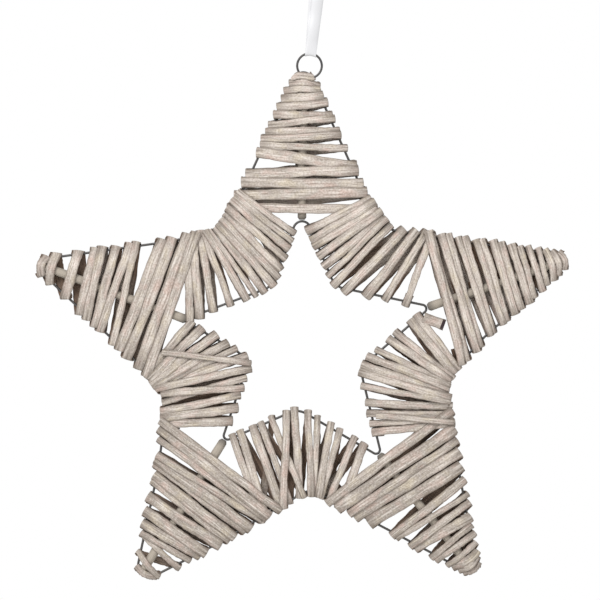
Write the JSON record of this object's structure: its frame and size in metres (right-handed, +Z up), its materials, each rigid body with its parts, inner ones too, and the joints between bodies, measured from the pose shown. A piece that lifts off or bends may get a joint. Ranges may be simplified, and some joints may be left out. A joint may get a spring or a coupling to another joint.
{
  "type": "wicker star ornament",
  "caption": "Flat hanging five-pointed star of whitewashed split willow wound round two wire stars, with an open middle, a ring and a ribbon loop.",
  "frame": {"origin": "the inside top of the ribbon loop, where the hook or nail that holds the ornament goes", "axes": "+Z up, +X to the right as seen from the front, and the front of the star faces -Y"},
  "size_m": [0.3995, 0.0127, 0.452],
  "materials": {
    "willow_strip": "matt whitewash",
    "willow_rod": "matt greyed",
    "steel_wire": "dull grey",
    "satin_ribbon": "satin"
  },
  "bodies": {
    "root": {"top_arm_strip_1": "willow_strip", "top_arm_strip_2": "willow_strip", "top_arm_strip_3": "willow_strip", "left_arm_strip_1": "willow_strip", "left_arm_strip_2": "willow_strip", "left_arm_strip_3": "willow_strip", "lower_left_arm_strip_1": "willow_strip", "lower_left_arm_strip_2": "willow_strip", "lower_left_arm_strip_3": "willow_strip", "lower_right_arm_strip_1": "willow_strip", "lower_right_arm_strip_2": "willow_strip", "lower_right_arm_strip_3": "willow_strip", "right_arm_strip_1": "willow_strip", "right_arm_strip_2": "willow_strip", "right_arm_strip_3": "willow_strip", "upper_left_notch_strip_1": "willow_strip", "upper_left_notch_strip_2": "willow_strip", "upper_left_notch_strip_3": "willow_strip", "left_notch_strip_1": "willow_strip", "left_notch_strip_2": "willow_strip", "left_notch_strip_3": "willow_strip", "bottom_notch_strip_1": "willow_strip", "bottom_notch_strip_2": "willow_strip", "bottom_notch_strip_3": "willow_strip", "right_notch_strip_1": "willow_strip", "right_notch_strip_2": "willow_strip", "right_notch_strip_3": "willow_strip", "upper_right_notch_strip_1": "willow_strip", "upper_right_notch_strip_2": "willow_strip", "upper_right_notch_strip_3": "willow_strip", "stray_strip_1": "willow_strip", "stray_strip_2": "willow_strip", "top_binding": "willow_strip", "top_arm_rod": "willow_rod", "left_arm_rod": "willow_rod", "lower_left_arm_rod": "willow_rod", "lower_right_arm_rod": "willow_rod", "right_arm_rod": "willow_rod", "outer_wire_star": "steel_wire", "inner_wire_star": "steel_wire", "hanging_ring": "steel_wire", "ribbon": "satin_ribbon"}
  },
  "joints": []
}
